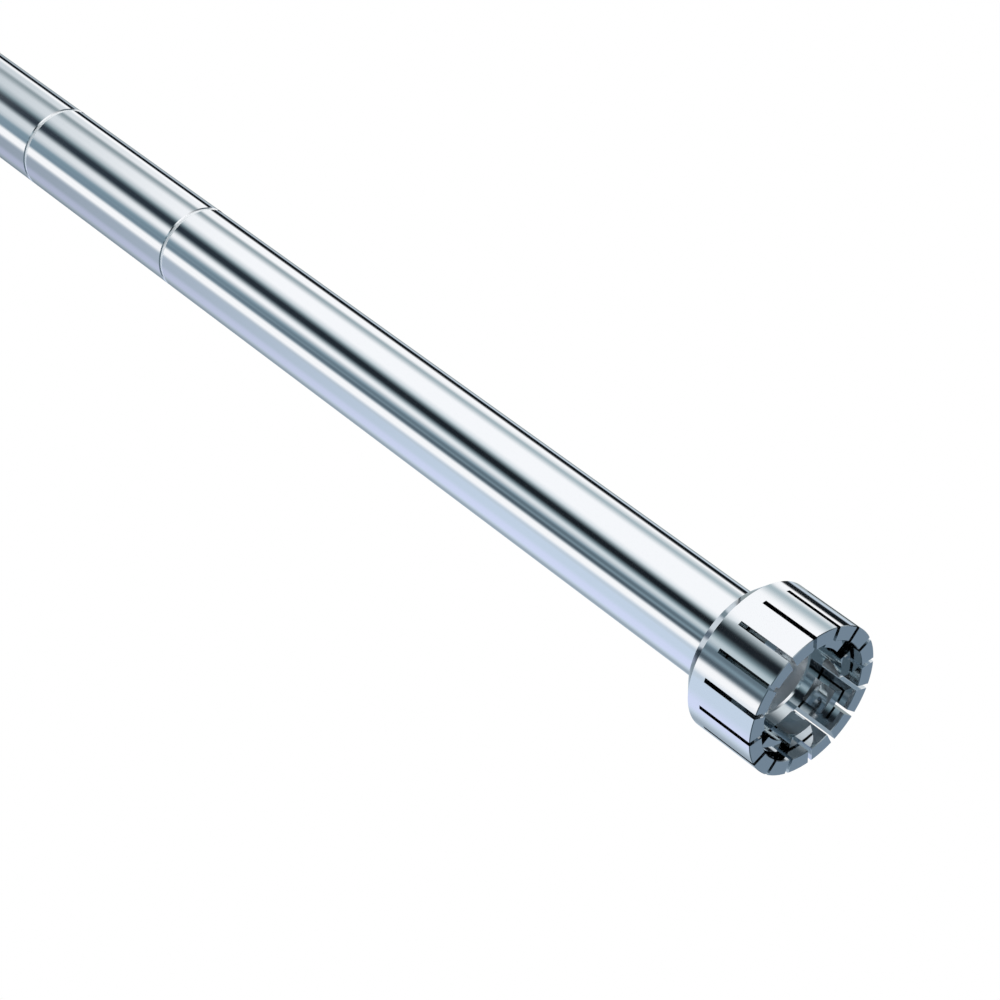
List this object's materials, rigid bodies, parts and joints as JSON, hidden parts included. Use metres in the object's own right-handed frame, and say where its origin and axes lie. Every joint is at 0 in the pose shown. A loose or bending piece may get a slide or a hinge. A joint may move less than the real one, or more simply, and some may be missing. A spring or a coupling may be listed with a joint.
{
  "type": "dispersing element",
  "caption": "Long polished shaft tube ending in a slotted cylindrical stator head, with a toothed rotor turning inside it on a shaft driven from the far end.",
  "frame": {"origin": "centre of the stator head's open end face, on the tool's axis; the tool stands on this face", "axes": "+Z along the tool's axis, from the head to the drive end; +X through the middle of one of the stator's slots"},
  "size_m": [0.045, 0.045, 0.402],
  "materials": {
    "polished_head": "mirror polished stainless steel, with machined slots",
    "machined_rotor": "finely turned and milled stainless steel",
    "polished_tube": "mirror polished stainless steel",
    "polished_sleeve": "mirror polished stainless steel",
    "polished_shank": "mirror polished stainless steel",
    "ground_shaft": "ground stainless steel",
    "hard_journal": "ground and lapped hard steel",
    "machined_steel": "turned stainless steel",
    "slide_plastic": "matt white slide plastic",
    "spring_steel": "dark spring steel",
    "seal_rubber": "matt black rubber",
    "pressed_steel": "pressed steel, dull",
    "garter_spring": "fine coiled spring wire",
    "bearing_steel": "ground bearing steel",
    "ball_steel": "lapped bearing steel",
    "cage_brass": "turned brass"
  },
  "bodies": {
    "housing": {"stator_head": "polished_head", "shaft_tube": "polished_tube", "bearing_sleeve": "polished_sleeve", "clamp_shank": "polished_shank", "slide_bush": "slide_plastic", "tube_bush": "slide_plastic", "guide_bush": "slide_plastic", "bush_retaining_ring": "spring_steel", "housing_retaining_ring": "spring_steel", "stator_o_ring": "seal_rubber", "sleeve_o_ring": "seal_rubber", "shank_o_ring": "seal_rubber", "seal_lip": "seal_rubber", "seal_case": "pressed_steel", "bearing_shield_lower": "pressed_steel", "bearing_shield_upper": "pressed_steel", "seal_spring": "garter_spring", "bearing_outer_ring": "bearing_steel"},
    "rotor_shaft": {"drive_shaft": "ground_shaft", "journal_sleeve": "hard_journal", "rotor": "machined_rotor", "rotor_washer": "machined_steel", "rotor_screw": "machined_steel", "bearing_inner_ring": "bearing_steel", "shaft_retaining_rings": "spring_steel"},
    "ball_train": {"bearing_balls": "ball_steel", "bearing_cage": "cage_brass"}
  },
  "joints": [
    {"name": "rotor_spin", "type": "hinge", "parent": "housing", "child": "rotor_shaft", "pos_m": [0, 0, 0], "axis": [0, 0, 1], "continuous": true},
    {"name": "cage_roll", "type": "hinge", "parent": "housing", "child": "ball_train", "pos_m": [0, 0, 0.277], "axis": [0, 0, 1], "continuous": true}
  ],
  "couplings": [
    {"joint": "cage_roll", "follows": "rotor_spin", "ratio": 0.4}
  ]
}
